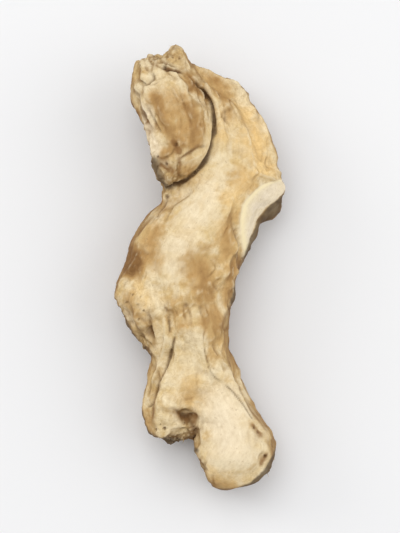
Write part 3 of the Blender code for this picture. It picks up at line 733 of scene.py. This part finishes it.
def raise_skin(skin, settings):
    """Gives the skin its fine relief and returns the marks that colour it."""
    soften_edges(skin.data)
    points, facing = coordinates(skin.data), normals(skin.data)
    faces = [tuple(p.vertices) for p in skin.data.polygons]
    tree = BVHTree.FromPolygons(points.tolist(), faces)
    broad_facing = neighbour_mean(skin.data, facing, 12)
    wander = noise_at(points, 1.8 * MM, 9)
    waver = 0.4 * noise_at(points, 2.4 * MM, 60)
    blotch = 0.3 * noise_at(points, 4 * MM, 61) + 0.22 * wander
    fine = 0.5 * noise_at(points, 0.9 * MM, 13)

    crust = np.clip(spread(points, CRUSTS) * (1.0 + 0.8 * noise_at(points, 3 * MM, 10)), 0.0, 1.0)
    smooth = spread(points, SMOOTH_FACES)
    pared, pared_rim_highlight, pared_shade = pare_masks(points, broad_facing)
    patchy = smooth_step(-0.45, 0.5, noise_at(points, 8 * MM, 5))
    wrinkle, rings, furrow, grain = finger_fields(points)
    furrow *= smooth_step(-0.05, 0.45, noise_at(points, 5 * MM, 16) + 0.35 * spread(points, FURROWED))
    cork, crack, shade = cork_relief(points, wander)

    stain = line_strengths(points, tree, STAINS, blotch)
    pale = line_strengths(points, tree, PALE_ZONES, blotch)
    # Skin that faces sideways: painted shade on the flanks, and more skin is left unscraped there.
    flank_shade = smooth_step(0.66, 0.05, broad_facing[:, 2] + 0.25 * blotch)
    skinned, edge = unscraped_marks(points, wander, 0.5 * stain - 0.7 * pale + 0.5 * flank_shade)
    creases = line_strengths(points, tree, CREASES, waver, fading=True)
    folds = line_strengths(points, tree, FOLDS, waver, fading=True)
    pits = drawn_pits(tree) + scattered_pits(points, facing, crust, smooth, settings)
    pit, rim = pit_depths(points, pits)

    rough = (1.0 - 0.85 * smooth) * (1.0 - pared)
    broken = smooth_step(-0.1, 0.5, noise_at(points, 4.5 * MM, 14))
    height = settings.wrinkle_depth * rough * (0.3 + 0.7 * patchy) * (wrinkle - 0.45)
    height += settings.ring_height * (0.03 + 0.97 * rough) * (1.0 - pared) * broken * rings
    height -= settings.furrow_depth * rough * furrow
    height += settings.crust_height * crust * cork
    height += settings.peel_step * edge * rough
    height += 0.16 * MM * (1.0 - 0.6 * pared) * noise_at(points, 4 * MM, 15)
    height += 0.12 * MM * fine * (1.0 - 0.6 * pared)
    height += MM * (folds - creases) * (1.0 - pared) - pit + rim

    # Where the root stands, the relief dies out so that it still rests on the same level.
    lifted = smooth_step(0.05 * MM, 1.6 * MM, points[:, 2])
    place_vertices(skin.data, points + (height * lifted)[:, None] * facing)
    return {
        # Painted shade in the furrows.
        "furrow": np.clip(furrow * (0.15 + rough), 0.0, 1.0) * (1.0 - pared),
        "blush": np.clip(line_strengths(points, tree, BLUSHES, blotch), 0.0, 1.0),
        "rust": line_strengths(points, tree, RUSTS, 1.2 * waver + fine),
        "gold": line_strengths(points, tree, GOLDEN, blotch),
        # Painted shade on the walls that turn down out of the light.
        "wall_shade": wall_shade_marks(points, tree, broad_facing, pared_shade, waver, blotch, fine),
        # Painted shade in the creases and pits.
        "crease_shade": np.clip(creases / 0.8 + pit / (0.45 * MM), 0.0, 1.0),
        "plain": np.maximum(smooth, pared), "stain": stain, "skinned": skinned, "flank_shade": flank_shade,
        "crust": crust, "crack": crack, "cell_shade": shade, "pared": pared,
        "pared_rim_highlight": pared_rim_highlight, "grain": grain,
    }


def relief_marks(mesh):
    """The marks that depend on the finished relief: crests, for painted highlight and pale wear,
    and hollows and deep folds, for painted shade.
    """
    fine, broad = hollowness(mesh, 8), hollowness(mesh, 60)
    return {
        # Painted shade in the hollows and deep folds; painted highlight and pale wear on the crests.
        "hollow_shade": smooth_step(0.03 * MM, 0.22 * MM, fine),
        "crest": smooth_step(0.04 * MM, 0.22 * MM, -fine),
        "deep": smooth_step(0.4 * MM, 1.7 * MM, broad),
    }


def store_marks(mesh, marks):
    for name, values in marks.items():
        kind = "FLOAT_VECTOR" if values.ndim == 2 else "FLOAT"
        attribute = mesh.attributes.new(name, kind, "POINT")
        field = "vector" if values.ndim == 2 else "value"
        attribute.data.foreach_set(field, values.astype(np.float32).ravel())


# Node helpers.

def new_material(name):
    """A new material, its node tree and its Principled shader."""
    material = bpy.data.materials.new(name)
    material.use_nodes = True
    tree = material.node_tree
    return material, tree, tree.nodes["Principled BSDF"]


def add_node(tree, kind, label="", **values):
    node = tree.nodes.new(kind)
    node.label = label
    for name, value in values.items():
        setattr(node, name, value)
    return node


def plug(tree, socket, value):
    """Feeds a socket from another socket, or gives it a plain value."""
    if isinstance(value, bpy.types.NodeSocket):
        tree.links.new(value, socket)
    else:
        socket.default_value = value


def plug_all(tree, node, **values):
    """Plugs a node's inputs by name, with an underscore for each space."""
    for name, value in values.items():
        plug(tree, node.inputs[name.replace("_", " ")], value)


def attribute_node(tree, name):
    return add_node(tree, "ShaderNodeAttribute", name, attribute_name=name,
                    attribute_type="GEOMETRY")


# Where the sockets of a colour Mix node lie.
MIX_SHARE, MIX_FIRST, MIX_SECOND, MIX_RESULT = 0, 6, 7, 2


def mix_colour(tree, label, share, first, second, blend="MIX"):
    """A colour mix; share, first and second are sockets or plain values."""
    node = add_node(tree, "ShaderNodeMix", label, data_type="RGBA", blend_type=blend,
                    clamp_factor=True)
    plug(tree, node.inputs[MIX_SHARE], share)
    plug(tree, node.inputs[MIX_FIRST], first)
    plug(tree, node.inputs[MIX_SECOND], second)
    return node.outputs[MIX_RESULT]


def maths(tree, operation, first, second, third=0.0, clamp=False):
    node = add_node(tree, "ShaderNodeMath", operation=operation, use_clamp=clamp)
    for socket, value in zip(node.inputs, (first, second, third)):
        plug(tree, socket, value)
    return node.outputs[0]


def product(tree, first, second):
    return maths(tree, "MULTIPLY", first, second)


def noise_node(tree, label, vector, scale, detail, roughness, distortion=0.0):
    node = add_node(tree, "ShaderNodeTexNoise", label)
    plug_all(tree, node, Vector=vector, Scale=scale, Detail=detail, Roughness=roughness,
             Distortion=distortion)
    return node.outputs["Fac"]


def ramp(tree, label, value, low, high):
    """0 below low, 1 above high and smooth between."""
    node = add_node(tree, "ShaderNodeMapRange", label, interpolation_type="SMOOTHSTEP")
    plug_all(tree, node, Value=value, From_Min=low, From_Max=high)
    return node.outputs["Result"]


def new_group(name, inputs, outputs):
    group = bpy.data.node_groups.new(name, "ShaderNodeTree")
    for label, kind in inputs:
        group.interface.new_socket(label, in_out="INPUT", socket_type=kind)
    for label, kind in outputs:
        group.interface.new_socket(label, in_out="OUTPUT", socket_type=kind)
    return group, group.nodes.new("NodeGroupInput"), group.nodes.new("NodeGroupOutput")


FLOAT, VECTOR = "NodeSocketFloat", "NodeSocketVector"


def drawn_grain_group():
    """Fibres drawn out along the fingers: fine streaks and a broader mottling."""
    group, given, made = new_group(
        "drawn_grain", [("Grain", VECTOR), ("Place", VECTOR)],
        [("Streaks", FLOAT), ("Mottle", FLOAT), ("Fleck", FLOAT), ("Specks", FLOAT)])
    grain, place = given.outputs["Grain"], given.outputs["Place"]
    squeeze = add_node(group, "ShaderNodeMapping", "draw out along the finger")
    plug_all(group, squeeze, Vector=grain, Scale=(1.0, 1.0, 0.12))
    specks = noise_node(group, "specks", place, 1300, 2, 0.5)
    plug_all(
        group, made,
        Streaks=noise_node(group, "fine streaks", squeeze.outputs["Vector"], 1500, 4, 0.65, 0.4),
        Mottle=noise_node(group, "mottling", place, 210, 4, 0.6, 0.6),
        Fleck=noise_node(group, "flecks", place, 700, 4, 0.75, 0.8),
        Specks=ramp(group, "only the darkest specks", specks, 0.62, 0.74))
    return group


def grain_in(tree, group, grain, place):
    """The outputs of the grain group in a material, fed with these coordinates."""
    node = add_node(tree, "ShaderNodeGroup", "drawn grain", node_tree=group)
    plug_all(tree, node, Grain=grain, Place=place)
    return node.outputs


def layered(tree, surface, layers):
    """Lays colours over a surface: each one's label, its mask, how much of it, and the colour."""
    for label, mask, amount, colour in layers:
        surface = mix_colour(tree, label, product(tree, mask, amount), surface, colour)
    return surface


def speckled(tree, label, amount, surface, noise, low, high, shades):
    """Multiplies a surface by shades that run from dark to pale with a noise."""
    shade = mix_colour(tree, label, ramp(tree, label, noise, low, high), *shades)
    return mix_colour(tree, label, amount, surface, shade, "MULTIPLY")


# What flecks and streaks multiply the colour by, at their darkest and at their palest.
FLECK_SHADES = (0.60, 0.50, 0.36, 1), (1.32, 1.36, 1.44, 1)
STREAK_SHADES = (0.62, 0.52, 0.40, 1), (1.3, 1.32, 1.34, 1)


def bare_surface(tree, colours, mark, mottle):
    """Flesh and skin before age has marked them, with the toe's blush and the golden tinge."""
    flesh = mix_colour(tree, "mottled flesh", ramp(tree, "mottle", mottle, 0.35, 0.75),
                       colours.flesh, colours.buff)
    flesh = mix_colour(tree, "pinkish toe", mark["blush"], flesh, colours.blush)
    skin = mix_colour(tree, "mottled skin", ramp(tree, "mottle", mottle, 0.3, 0.75),
                      colours.buff, colours.tan)
    surface = mix_colour(tree, "unscraped skin", mark["skinned"], flesh, skin)
    golden = product(tree, mark["gold"], ramp(tree, "gold share", mottle, 0.15, 0.6))
    return mix_colour(tree, "golden tinge", golden, surface, colours.gold)


def aged_surface(tree, colours, mark, mottled, surface):
    """The surface with its stains, bruises, painted shade on the flanks and cracked cork."""
    stain = product(tree, mark["stain"], mottled)
    surface = mix_colour(tree, "stains", ramp(tree, "tan share", stain, -0.15, 1.35), surface,
                         colours.tan)
    surface = mix_colour(tree, "bruises", ramp(tree, "brown share", stain, 0.75, 2.6), surface,
                         colours.brown)
    cork = mix_colour(tree, "cork cells", mark["cell_shade"], colours.buff, colours.brown)
    return layered(tree, surface, [
        # Painted shade on the skin that faces sideways.
        ("flanks", mark["flank_shade"], product(tree, mottled, 0.85), colours.brown),
        ("cork", mark["crust"], 0.6, cork),
        ("cracks in cork", product(tree, mark["crack"], mark["crust"]), 0.7, colours.brown)])


def skin_material(colours, grain_group):
    """Dried skin: scraped flesh, buff and tan skin, bruises and cork, with painted shade in the
    folds and pits and on the walls, and painted highlight on the crests and the pared rim.
    """
    material, tree, shader = new_material("dried_skin")
    mark = {name: attribute_node(tree, name).outputs["Fac"] for name in (
        "stain", "blush", "rust", "gold", "skinned", "crust", "pared", "flank_shade", "wall_shade", "crack",
        "cell_shade", "furrow", "crease_shade", "hollow_shade", "deep", "crest", "pared_rim_highlight", "plain")}
    place = add_node(tree, "ShaderNodeTexCoord", "place").outputs["Object"]
    grain = grain_in(tree, grain_group, attribute_node(tree, "grain").outputs["Vector"], place)
    streaks, mottle, fleck = grain["Streaks"], grain["Mottle"], grain["Fleck"]
    uneven = maths(tree, "MULTIPLY_ADD", fleck, 1.3, product(tree, mottle, 1.7))
    mottled = maths(tree, "SUBTRACT", uneven, 0.5)

    surface = bare_surface(tree, colours, mark, mottle)
    surface = aged_surface(tree, colours, mark, mottled, surface)
    pared = mix_colour(tree, "pared face", ramp(tree, "mottled cut", mottle, 0.25, 0.85),
                       colours.cut, colours.flesh)
    surface = mix_colour(tree, "pared", mark["pared"], surface, pared)
    flecked = maths(tree, "MULTIPLY_ADD", mark["plain"], -0.3, 0.5)
    surface = speckled(tree, "flecks", flecked, surface, fleck, 0.25, 0.75, FLECK_SHADES)
    surface = speckled(tree, "streaks", 0.14, surface, streaks, 0.3, 0.7, STREAK_SHADES)
    rusty = ramp(tree, "rust share", product(tree, mark["rust"], mottled), 0.0, 1.15)
    # How much of the painted wall shade shows, mottled.
    wall_shade_share = maths(tree, "MULTIPLY_ADD", mottled, 0.2, 0.65, clamp=True)
    # Painted shade goes into the furrows, hollows, deep folds, creases and pits and on the walls that
    # turn from the light; painted highlight goes on the crests, which are also paler with wear, and
    # along the pared face's left rim.
    surface = layered(tree, surface, [
        ("specks", grain["Specks"], 0.25, colours.brown),
        ("furrows", mark["furrow"], 0.4, colours.brown),
        ("pared rim", mark["pared_rim_highlight"], 0.8, colours.rim),
        ("bright crests", mark["crest"], 0.5, colours.flesh),
        ("painted hollow shade", mark["hollow_shade"], 0.45, colours.brown),
        ("deep folds", mark["deep"], 0.8, colours.brown),
        ("rust", rusty, 0.85, colours.rust),
        ("shaded walls", mark["wall_shade"], wall_shade_share, colours.wall_shade),
        ("crease_shade", mark["crease_shade"], 0.68, colours.crevice_shade)])

    roughness = add_node(tree, "ShaderNodeMapRange", "roughness")
    plug_all(tree, roughness, Value=streaks, To_Min=0.55, To_Max=0.9)
    fine = add_node(tree, "ShaderNodeBump", "fine relief")
    plug_all(tree, fine, Strength=0.45, Distance=0.12 * MM,
             Height=maths(tree, "MULTIPLY_ADD", streaks, 0.06, mottle))
    plug_all(tree, shader, Base_Color=surface, Roughness=roughness.outputs["Result"],
             Normal=fine.outputs["Normal"], Specular_IOR_Level=0.2)
    return material


# Torn fibres.

FIBRE_STEPS, FIBRE_SIDES = 4, 5
# How far a fibre's root reaches into the skin.
FIBRE_HOLD = 0.3 * MM


def add_fibre(mesh, root, way, sag, length, width):
    """One tapering fibre with few sides that bends as it goes."""
    loops = []
    for step in range(FIBRE_STEPS + 1):
        share = step / FIBRE_STEPS
        centre = root + way * (length * share) + sag * (length * share ** 2)
        turn = (way + sag * 2 * share).to_track_quat("Z", "Y").to_matrix().to_4x4()
        size = width * (1.0 - 0.85 * share) / 2
        ring = bmesh.ops.create_circle(
            mesh, cap_ends=False, segments=FIBRE_SIDES, radius=size,
            matrix=Matrix.Translation(centre) @ turn)
        loops.append([edge for vert in ring["verts"] for edge in vert.link_edges])
    for lower, upper in zip(loops, loops[1:]):
        bmesh.ops.bridge_loops(mesh, edges=list(set(lower)) + list(set(upper)))
    for loop in (loops[0], loops[-1]):
        bmesh.ops.holes_fill(mesh, edges=[edge for edge in set(loop) if edge.is_boundary])


def torn_fibres(skin, settings, seed):
    """Fibres that stand out of the crusts of the skin at seeded places."""
    points, facing = coordinates(skin), normals(skin)
    rng = np.random.default_rng(seed)
    crust = spread(points, CRUSTS) ** 2 * (points[:, 2] > 4 * MM)
    roots = rng.choice(len(points), settings.count, replace=False, p=crust / crust.sum())
    mesh = bmesh.new()
    for i in roots:
        outwards = Vector(facing[i])
        way = (outwards + Vector(rng.normal(0, 0.55, 3))).normalized()
        if way.dot(outwards) < 0.15:
            way = outwards
        sag = Vector(rng.normal(0, 0.35, 3)) - Vector((0, 0, 0.25))
        length = settings.length * rng.uniform(0.25, 1.0)
        width = settings.thickness * rng.uniform(0.5, 1.0)
        add_fibre(mesh, Vector(points[i]) - way * FIBRE_HOLD, way, sag, length, width)
    bmesh.ops.recalc_face_normals(mesh, faces=mesh.faces[:])
    return finished_mesh(mesh, "torn_fibres")


def fibre_material(colours, grain_group):
    material, tree, shader = new_material("torn_fibre")
    place = add_node(tree, "ShaderNodeTexCoord", "place").outputs["Object"]
    grain = grain_in(tree, grain_group, place, place)
    straw = mix_colour(tree, "straw", grain["Mottle"], colours.buff, colours.tan)
    straw = layered(tree, straw, [("burnt tips", grain["Specks"], 0.7, colours.brown)])
    plug_all(tree, shader, Base_Color=straw,
             Roughness=ramp(tree, "roughness", grain["Streaks"], -0.6, 1.2))
    return material


class GINGER_OT_grow_skin(bpy.types.Operator):
    """Grow the fine skin of the whole root round its solid"""

    bl_idname = "ginger.grow_skin"
    bl_label = "Grow Skin"

    def execute(self, context):
        chosen = context.scene.ginger_root
        skin = refined_skin(chosen.skin.cell)
        store_marks(skin.data, raise_skin(skin, chosen.skin))
        store_marks(skin.data, relief_marks(skin.data))
        skin.data.materials.clear()
        skin.data.materials.append(skin_material(chosen.colours, drawn_grain_group()))
        skin.data.shade_smooth()
        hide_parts(NODE)
        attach(skin, "root")
        return {"FINISHED"}


class GINGER_OT_add_fibres(bpy.types.Operator):
    """Add the torn fibres that stand out of the broken, crusty ends"""

    bl_idname = "ginger.add_fibres"
    bl_label = "Add Fibres"

    def execute(self, context):
        chosen = context.scene.ginger_root
        skin = bpy.data.objects["ginger_skin"].data
        data = torn_fibres(skin, chosen.fibres, chosen.skin.seed + 1)
        data.shade_smooth()
        data.materials.append(fibre_material(chosen.colours, bpy.data.node_groups["drawn_grain"]))
        fibres = add_object("torn_fibres", data)
        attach(fibres, "root")
        return {"FINISHED"}


def floor_material(colour):
    material, tree, shader = new_material("studio_floor")
    plug_all(tree, shader, Base_Color=colour, Roughness=0.9, Specular_IOR_Level=0.1)
    return material


# The soft round lights, which all face the root: place and width in metres, watts and colour.
LIGHTS = {
    "soft_key": ((-0.18, 0.26, 0.85), 0.8, 2.55, (1.0, 0.99, 0.975)),
    "low_left": ((-0.70, 0.30, 0.40), 0.4, 1.1, (1.0, 0.985, 0.96)),
    "soft_right": ((0.65, 0.05, 0.50), 0.8, 1.9, (1.0, 1.0, 1.0)),
}
AIR_STRENGTH = 0.71
FLOOR_RADIUS = 2.0
# The floor lies this far below the root, so that the two never share a surface.
FLOOR_DROP = 0.02 * MM


def add_light(name, place, size, energy, colour):
    light = bpy.data.lights.new(name, "AREA")
    light.shape = "DISK"
    light.size = size
    light.energy = energy
    light.color = colour
    lamp = add_object(name, light)
    lamp.location = place
    lamp.rotation_euler = Vector(place).to_track_quat("Z", "Y").to_euler()


class GINGER_OT_set_stage(bpy.types.Operator):
    """Set up the pale floor, the soft light and the camera above the root"""

    bl_idname = "ginger.set_stage"
    bl_label = "Set Stage"

    def execute(self, context):
        chosen = context.scene.ginger_root.stage
        scene = context.scene
        self.add_floor(chosen)
        self.add_lights(scene)
        self.add_camera(scene, chosen)
        return {"FINISHED"}

    def add_floor(self, chosen):
        shape = bmesh.new()
        bmesh.ops.create_circle(shape, cap_ends=True, segments=64, radius=FLOOR_RADIUS,
                                matrix=Matrix.Translation((0, 0, -FLOOR_DROP)))
        data = finished_mesh(shape, "floor")
        data.materials.append(floor_material(chosen.floor))
        add_object("floor", data)

    def add_lights(self, scene):
        for name, values in LIGHTS.items():
            add_light(name, *values)
        world = bpy.data.worlds.new("studio_air")
        world.use_nodes = True
        background = world.node_tree.nodes["Background"]
        background.inputs["Color"].default_value = (1.0, 1.0, 1.0, 1.0)
        background.inputs["Strength"].default_value = AIR_STRENGTH
        scene.world = world
        scene.view_settings.view_transform = "Standard"

    def add_camera(self, scene, chosen):
        camera = bpy.data.cameras.new("camera")
        camera.lens = chosen.lens
        camera.clip_start = 0.01
        low, high = CAD_BOX
        centre = (low + high) / 2
        back = Vector((0, -math.cos(chosen.elevation), math.sin(chosen.elevation)))
        half_view = math.atan(camera.sensor_width / 2 / camera.lens)
        half_height = (high.y - low.y) / 2 / chosen.fill
        watcher = add_object("camera", camera)
        watcher.location = centre + back * (half_height / math.tan(half_view))
        watcher.rotation_euler = back.to_track_quat("Z", "Y").to_euler()
        scene.camera = watcher


class GINGER_PT_panel(bpy.types.Panel):
    """The ginger root's panel in the sidebar of the 3D view"""

    bl_label = "Dried Ginger Root"
    bl_idname = "GINGER_PT_panel"
    bl_space_type = "VIEW_3D"
    bl_region_type = "UI"
    bl_category = "Ginger"

    def draw(self, context):
        for operator in STEPS:
            self.layout.operator(operator.bl_idname)
        for group in ("skin", "colours", "fibres", "stage"):
            chosen = getattr(context.scene.ginger_root, group)
            column = self.layout.column(heading=group.title())
            for name in chosen.bl_rna.properties.keys():
                if name not in ("name", "rna_type"):
                    column.prop(chosen, name)


STEPS = (GINGER_OT_grow_skin, GINGER_OT_add_fibres, GINGER_OT_set_stage)
CLASSES = (GingerSkinSettings, GingerColourSettings, GingerFibreSettings, GingerStageSettings,
           GingerRootSettings, *STEPS, GINGER_PT_panel)


def register():
    for cls in CLASSES:
        bpy.utils.register_class(cls)
    bpy.types.Scene.ginger_root = PointerProperty(type=GingerRootSettings)


def unregister():
    del bpy.types.Scene.ginger_root
    for cls in reversed(CLASSES):
        bpy.utils.unregister_class(cls)


def main():
    register()
    bpy.ops.ginger.grow_skin()
    bpy.ops.ginger.add_fibres()
    bpy.ops.ginger.set_stage()


if __name__ == "__main__":
    main()
